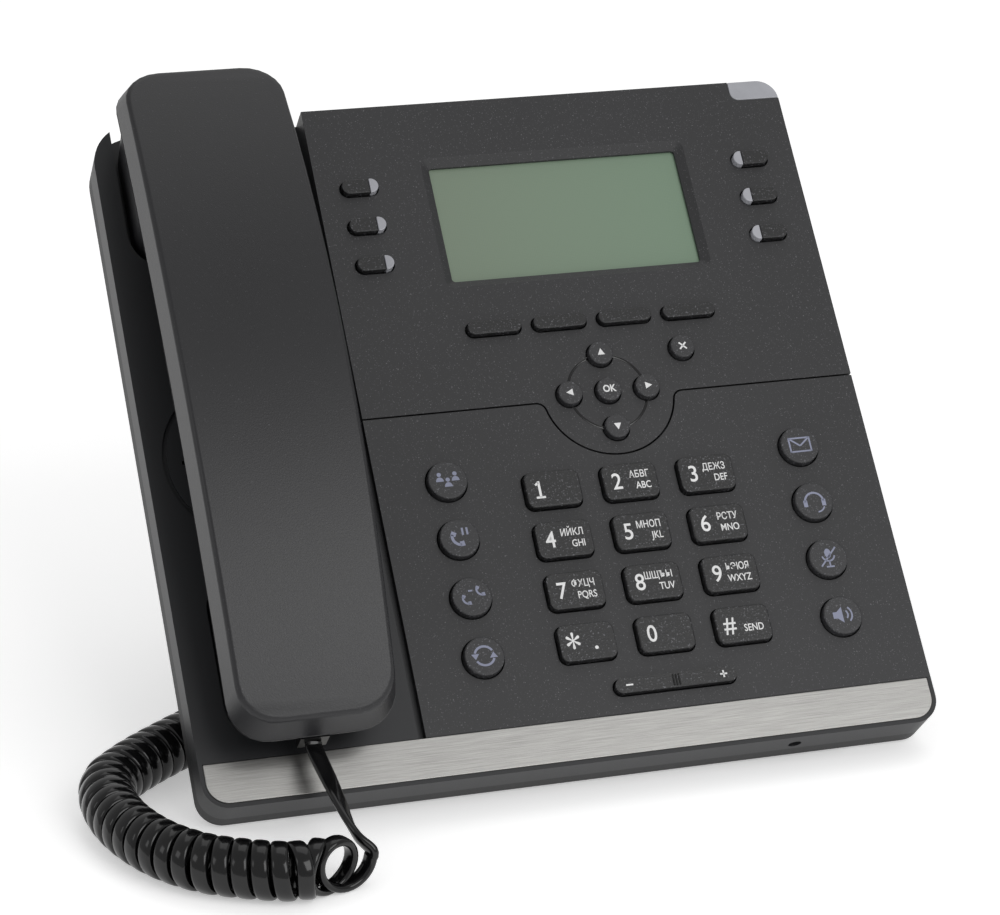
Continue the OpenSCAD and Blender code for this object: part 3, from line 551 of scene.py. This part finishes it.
# %% Copies with rounded edges
def softened(node, material, radius_mm, body, segments=2, limit=22):
    """A joined copy of a CAD node with its edges rounded. It replaces the node."""
    mesh = nodes[node].data.copy()
    mesh.name = node + "_soft"
    bm = bmesh.new()
    bm.from_mesh(mesh)
    bmesh.ops.remove_doubles(bm, verts=bm.verts, dist=2e-6)
    bmesh.ops.dissolve_limit(
        bm, angle_limit=math.radians(0.6), verts=bm.verts, edges=bm.edges, use_dissolve_boundaries=False
    )
    bm.to_mesh(mesh)
    bm.free()
    mesh.materials.clear()
    mesh.materials.append(material)
    mesh.shade_smooth()
    mesh.set_sharp_from_angle(angle=math.radians(limit))
    made = bpy.data.objects.new(node + "_moulded", mesh)
    bpy.context.scene.collection.objects.link(made)
    bevel = made.modifiers.new("edge radius", "BEVEL")
    bevel.width = radius_mm * MM
    bevel.segments = segments
    bevel.limit_method = "ANGLE"
    bevel.angle_limit = math.radians(limit)
    bevel.harden_normals = True
    bevel.use_clamp_overlap = True
    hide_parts(node)
    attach(made, body)
    return made


for node, material, radius_mm in (
    ("front_case", cradle_abs, 0.5),
    ("display_panel", panel_abs, 0.35),
    ("keypad_panel", panel_abs, 0.35),
    ("trim_strip", strip_metal, 0.25),
    ("rear_case", rear_abs, 0.6),
    ("light_guides", light_pipe, 0.35),
):
    piece = softened(node, material, radius_mm, "base")
    print(piece.name, len(piece.data.polygons), "faces")
softened("stand", rear_abs, 0.6, "stand")
for number in range(1, 7):
    softened(f"line_key_{number}", key_rubber, 0.45, f"line_key_{number}", segments=3)
for shell in ("handset_outer_shell", "handset_inner_shell"):
    softened(shell, handset_abs, 0.5, "handset", segments=3)

# %% [markdown]
# ## Keys
# The keys are silicone rubber moulded over small plungers, coated and laser-marked. Their edges are rounder
# than the case's. Each stays its own piece, because each one moves on its own.

# %% Key caps
DIAL = {
    "key_1": ("1", ""),
    "key_2": ("2", "АБВГ\nABC"),
    "key_3": ("3", "ДЕЖЗ\nDEF"),
    "key_4": ("4", "ИЙКЛ\nGHI"),
    "key_5": ("5", "МНОП\nJKL"),
    "key_6": ("6", "РСТУ\nMNO"),
    "key_7": ("7", "ФХЦЧ\nPQRS"),
    "key_8": ("8", "ШЩЪЫ\nTUV"),
    "key_9": ("9", "ЬЭЮЯ\nWXYZ"),
    "key_star": ("*", "."),
    "key_0": ("0", ""),
    "key_hash": ("#", "SEND"),
}
ROUND = [
    "key_conference", "key_hold", "key_transfer", "key_redial",
    "key_message", "key_headset", "key_mute", "key_speaker",
]
SMALL = ["key_up", "key_down", "key_left", "key_right", "key_ok", "key_cancel"]
for key in DIAL:
    softened(key, key_rubber, 0.7, key, segments=4)
for key in ROUND + SMALL:
    softened(key, round_rubber, 0.6, key, segments=4)
for key in [f"soft_key_{i}" for i in range(1, 5)] + ["volume_rocker"]:
    softened(key, key_rubber, 0.6, key, segments=4)

# %% [markdown]
# ## Markings
# A legend is ink or a laser mark a few hundredths of a millimetre thick. Letters come from the ordinary
# typeface and symbols from bars, discs and arcs, all turned into thin closed shapes that ride on their keys.

# %% Marking tools
INK = 0.04  # thickness of a marking, in millimetres
KEY_TOP = 2.0  # height of the dialling keys' tops over the face


def lettering(text, size, u=0.0, v=0.0, narrow=1.0, bold=0.0, spacing=1.0, centre="CENTER"):
    """Points in millimetres and faces of a line or lines of text about (u, v)."""
    curve = bpy.data.curves.new(text, "FONT")
    curve.body = text
    curve.size = size
    curve.align_x, curve.align_y = centre, "CENTER"
    curve.extrude = INK / 2
    curve.offset = bold
    curve.space_line = spacing
    curve.resolution_u = 4
    probe = bpy.data.objects.new("probe", curve)
    mesh = bpy.data.meshes.new_from_object(probe)
    points = np.empty(len(mesh.vertices) * 3)
    mesh.vertices.foreach_get("co", points)
    points = points.reshape(-1, 3) * (narrow, 1, 1) + (u, v, 0)
    faces = [list(f.vertices) for f in mesh.polygons]
    bpy.data.objects.remove(probe)
    bpy.data.curves.remove(curve)
    bpy.data.meshes.remove(mesh)
    return points, faces


def plate(outline):
    """A thin closed shape from a flat outline in millimetres."""
    flat = np.asarray(outline, float)
    n = len(flat)
    points = np.vstack([np.c_[flat, np.full(n, h)] for h in (-INK / 2, INK / 2)])
    return points, ring_faces(2, n)


def disc(u, v, r, squash=1.0):
    """Outline of a disc, or of an ellipse when squash isn't 1."""
    a = np.linspace(0, 2 * math.pi, 28, endpoint=False)
    return np.c_[u + r * np.cos(a), v + r * squash * np.sin(a)]


def bar(u0, v0, u1, v1, width):
    """Outline of a straight bar between two points."""
    a, b = np.array((u0, v0)), np.array((u1, v1))
    side = np.array((-(b - a)[1], (b - a)[0])) / np.linalg.norm(b - a) * width / 2
    return np.array([a - side, b - side, b + side, a + side])


def arc(u, v, r, first, last, width):
    """Outline of a band along an arc, between two angles in degrees."""
    a = np.radians(np.linspace(first, last, 24))
    ring = [np.c_[u + q * np.cos(a), v + q * np.sin(a)] for q in (r - width / 2, r + width / 2)]
    return np.vstack([ring[0], ring[1][::-1]])


def marking(name, shapes, node, top, material):
    """Joins shapes into one piece that lies on a node's top and rides with it."""
    u0, v0 = face_place(node)
    points, faces, first = [], [], 0
    for shape in shapes:
        pts, fcs = shape if isinstance(shape, tuple) else plate(shape)
        points.append(on_face(pts + (u0, v0, top)))
        faces += [[k + first for k in f] for f in fcs]
        first += len(pts)
    made = mesh_object(name, np.vstack(points), faces, material, 30)
    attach(made, node)
    return made


# %% Digits and letters
DIGIT_U = -3.9  # the digits' middle, left of the key's middle
LETTERS_U = 5.6  # the right end of the letters
for key, (digit, letters) in DIAL.items():
    # The typeface draws its star small and high, so the star is set larger and lower.
    big = 10.5 if digit == "*" else 6.7
    drop = -1.6 if digit == "*" else -0.2
    shapes = [lettering(digit, big, DIGIT_U, drop, 0.88, 0.06)]
    if digit == "1":
        shapes.append(bar(DIGIT_U, 2.1, -4.9, 1.3, 0.6))
        shapes.append(bar(-5.2, -2.35, -2.6, -2.35, 0.6))
    lines = letters.split("\n")
    rows = (1.6, -1.7) if len(lines) == 2 else (-1.4,)
    for line, row in zip(lines, rows):
        if line == ".":
            shapes.append(disc(2.2, -2.0, 0.5))
        elif line:
            shapes.append(lettering(line, 2.9, LETTERS_U, row, 0.78, 0.03, centre="RIGHT"))
    marking("legend_" + key, shapes, key, KEY_TOP, white_ink)
marking("legend_key_ok", [lettering("OK", 2.9, 0, 0, 0.85, 0.08)], "key_ok", KEY_TOP, white_ink)
marking(
    "legend_key_cancel",
    [bar(-1, -1, 1, 1, 0.45), bar(-1, 1, 1, -1, 0.45)],
    "key_cancel",
    KEY_TOP,
    white_ink,
)
for key, turn in (("key_right", 0), ("key_up", 90), ("key_left", 180), ("key_down", 270)):
    a = np.radians(turn + np.array([0, 125, 235]))
    marking("legend_" + key, [np.c_[np.cos(a), np.sin(a)] * 1.25], key, KEY_TOP, white_ink)

# %% Symbols on the round keys
def receiver(u, v, size, lean=0.0):
    """A handset: a curved bar with a pad at each end."""
    a = math.radians(lean)
    turn = np.array([[math.cos(a), math.sin(a)], [-math.sin(a), math.cos(a)]])
    shapes = [
        arc(0, -size * 0.55, size * 0.9, 35, 145, size * 0.32),
        bar(-size * 0.95, -size * 0.05, -size * 0.45, -size * 0.3, size * 0.5),
        bar(size * 0.95, -size * 0.05, size * 0.45, -size * 0.3, size * 0.5),
    ]
    return [s @ turn + (u, v) for s in shapes]


def person(u, v, size):
    """A head over round shoulders."""
    a = np.radians(np.linspace(0, 180, 16))
    body = np.c_[u + size * 0.75 * np.cos(a), v - size + size * 0.9 * np.sin(a)]
    return [disc(u, v + size * 0.42, size * 0.42), body]


SYMBOLS = {
    "key_conference": person(-1.9, 0.9, 1.25) + person(0, -0.5, 1.25) + person(1.9, 0.9, 1.25),
    "key_hold": receiver(-0.8, -0.5, 2.2, 125) + [bar(0.9, 0.6, 0.9, 2.4, 0.5), bar(2.0, 0.6, 2.0, 2.4, 0.5)],
    "key_transfer": (
        receiver(-1.6, -0.9, 1.5, 125) + receiver(2.0, 1.0, 1.5, 125) + [bar(-0.7, 1.4, 0.3, 1.4, 0.4)]
    ),
    "key_redial": [
        arc(0, 0, 2.3, 30, 160, 0.55),
        arc(0, 0, 2.3, 210, 340, 0.55),
        np.array([(-3.1, 0.6), (-1.2, 0.6), (-2.2, -0.8)]),
        np.array([(3.1, -0.6), (1.2, -0.6), (2.2, 0.8)]),
    ],
    "key_message": [
        bar(-2.6, 1.75, 2.6, 1.75, 0.4),
        bar(-2.6, -1.75, 2.6, -1.75, 0.4),
        bar(-2.6, -1.9, -2.6, 1.9, 0.4),
        bar(2.6, -1.9, 2.6, 1.9, 0.4),
        bar(-2.5, 1.7, 0, -0.3, 0.4),
        bar(2.5, 1.7, 0, -0.3, 0.4),
    ],
    "key_headset": [
        arc(0, -0.3, 2.3, 0, 180, 0.5),
        bar(-2.3, -1.5, -2.3, 0.2, 1.0),
        bar(2.3, -1.5, 2.3, 0.2, 1.0),
        arc(0.4, -1.1, 1.9, 270, 340, 0.35),
    ],
    "key_mute": [
        disc(0, 1.0, 0.8, 1.5),
        arc(0, 0.6, 1.55, 190, 350, 0.4),
        bar(0, -2.3, 0, -0.9, 0.4),
        bar(-1.0, -2.4, 1.0, -2.4, 0.4),
        bar(-2.2, -2.2, 2.2, 2.4, 0.4),
    ],
    "key_speaker": [
        np.array([(-2.5, -0.8), (-1.5, -0.8), (-0.1, -2.0), (-0.1, 2.0), (-1.5, 0.8), (-2.5, 0.8)]),
        arc(-0.1, 0, 1.3, -45, 45, 0.4),
        arc(-0.1, 0, 2.3, -48, 48, 0.4),
    ],
}
for key, shapes in SYMBOLS.items():
    marking("symbol_" + key, [1.15 * x for x in shapes], key, KEY_TOP, grey_ink)
marking(
    "ribs_volume_rocker",
    [bar(u, -1.6, u, 1.6, 0.35) for u in (-0.8, 0, 0.8)],
    "volume_rocker",
    KEY_TOP + 0.05,
    gloss_black,
)
marking(
    "legend_volume_rocker",
    [bar(-14.2, 0, -12.2, 0, 0.45), bar(12.2, 0, 14.2, 0, 0.45), bar(13.2, -1, 13.2, 1, 0.45)],
    "volume_rocker",
    KEY_TOP,
    white_ink,
)

# %% [markdown]
# ## The ring through the arrow keys
# A polished line in the panel joins the four arrow keys. It is a shallow band, 0.9 mm wide, that stands
# a twentieth of a millimetre above the panel's grain, so that it mirrors the room where the panel doesn't.

# %% Ring and finishing touches
ring_r = face_place("key_up")[1] - ok_v
a = np.linspace(0, 2 * math.pi, 120, endpoint=False)
# The band's section in millimetres: across it and out of the face.
section = np.array([(-0.45, -0.05), (-0.35, 0.05), (0.35, 0.05), (0.45, -0.05)])
spots = np.stack(
    [
        keys_u + (ring_r + section[None, :, 0]) * np.cos(a)[:, None],
        ok_v + (ring_r + section[None, :, 0]) * np.sin(a)[:, None],
        np.broadcast_to(section[None, :, 1], (len(a), 4)),
    ],
    -1,
)
i, k = np.meshgrid(np.arange(len(a)), np.arange(4), indexing="ij")
after = (i + 1) % len(a)
quads = np.stack([i * 4 + k, i * 4 + (k + 1) % 4, after * 4 + (k + 1) % 4, after * 4 + k], -1)
nav_ring = mesh_object(
    "navigation_ring", on_face(spots.reshape(-1, 3)), quads.reshape(-1, 4).tolist(), gloss_black, 60
)
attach(nav_ring, "base")

# %% Finishes of the engineering parts that keep their shape
for node, material in {
    "lcd_module": display,
    "front_feet": foot_rubber,
    "case_screws": screw_zinc,
    "keypad_mat": mat_silicone,
    "keypad_board": board_green,
    "main_board": board_green,
    "loudspeaker": speaker_steel,
    "handset_capsules": speaker_steel,
    "sockets": socket_nylon,
    "cord_plug_base": plug_clear,
    "cord_plug_handset": plug_clear,
    "hook_plunger": gloss_black,
}.items():
    nodes[node].data.materials.clear()
    nodes[node].data.materials.append(material)

# %% [markdown]
# ## Studio
# The telephone stands on a white light table, whose faint glow from below takes the shadows away. A large
# soft box in front and above gives the handset its gradient, and two weaker ones trim its edges.

# %% Floor and lights
floor_mesh = bpy.data.meshes.new("floor")
reach = 6.0
floor_mesh.from_pydata(
    [(-reach, -reach, 0), (reach, -reach, 0), (reach, reach, 0), (-reach, reach, 0)], [], [(0, 1, 2, 3)]
)
floor = bpy.data.objects.new("floor", floor_mesh)
bpy.context.scene.collection.objects.link(floor)
floor_material = bpy.data.materials.new("studio_paper_white")
floor_material.use_nodes = True
floor_tree = floor_material.node_tree
floor_tree.nodes.clear()
paper = add(
    floor_tree,
    "ShaderNodeBsdfPrincipled",
    Base_Color=srgb("fafafa"),
    Roughness=0.9,
    IOR=1.45,
    Emission_Color=(1, 1, 1, 1),
    Emission_Strength=0.4,
)
add(floor_tree, "ShaderNodeOutputMaterial", Surface=paper.outputs[0])
floor_mesh.materials.append(floor_material)


def soft_box(name, place, aim, size, watts):
    """A square area light of this size at a place, turned to face the aim."""
    light = bpy.data.lights.new(name, "AREA")
    light.size = size
    light.energy = watts
    made = bpy.data.objects.new(name, light)
    made.location = place
    made.rotation_euler = (Vector(aim) - Vector(place)).to_track_quat("-Z", "Y").to_euler()
    bpy.context.scene.collection.objects.link(made)
    return made


lights = [
    soft_box("front_box", (0.5, -1.25, 1.1), (0, 0, 0.05), 1.0, 9),
    soft_box("top_box", (0.3, 0.6, 1.5), (0, 0, 0.05), 1.2, 3),
    soft_box("left_box", (-1.3, -0.3, 0.8), (0, 0, 0.08), 0.5, 1),
]
world = bpy.data.worlds.new("studio")
bpy.context.scene.world = world
world.use_nodes = True
world.node_tree.nodes["Background"].inputs["Color"].default_value = (1, 1, 1, 1)
world.node_tree.nodes["Background"].inputs["Strength"].default_value = 0.5
bpy.context.scene.view_settings.view_transform = "Standard"
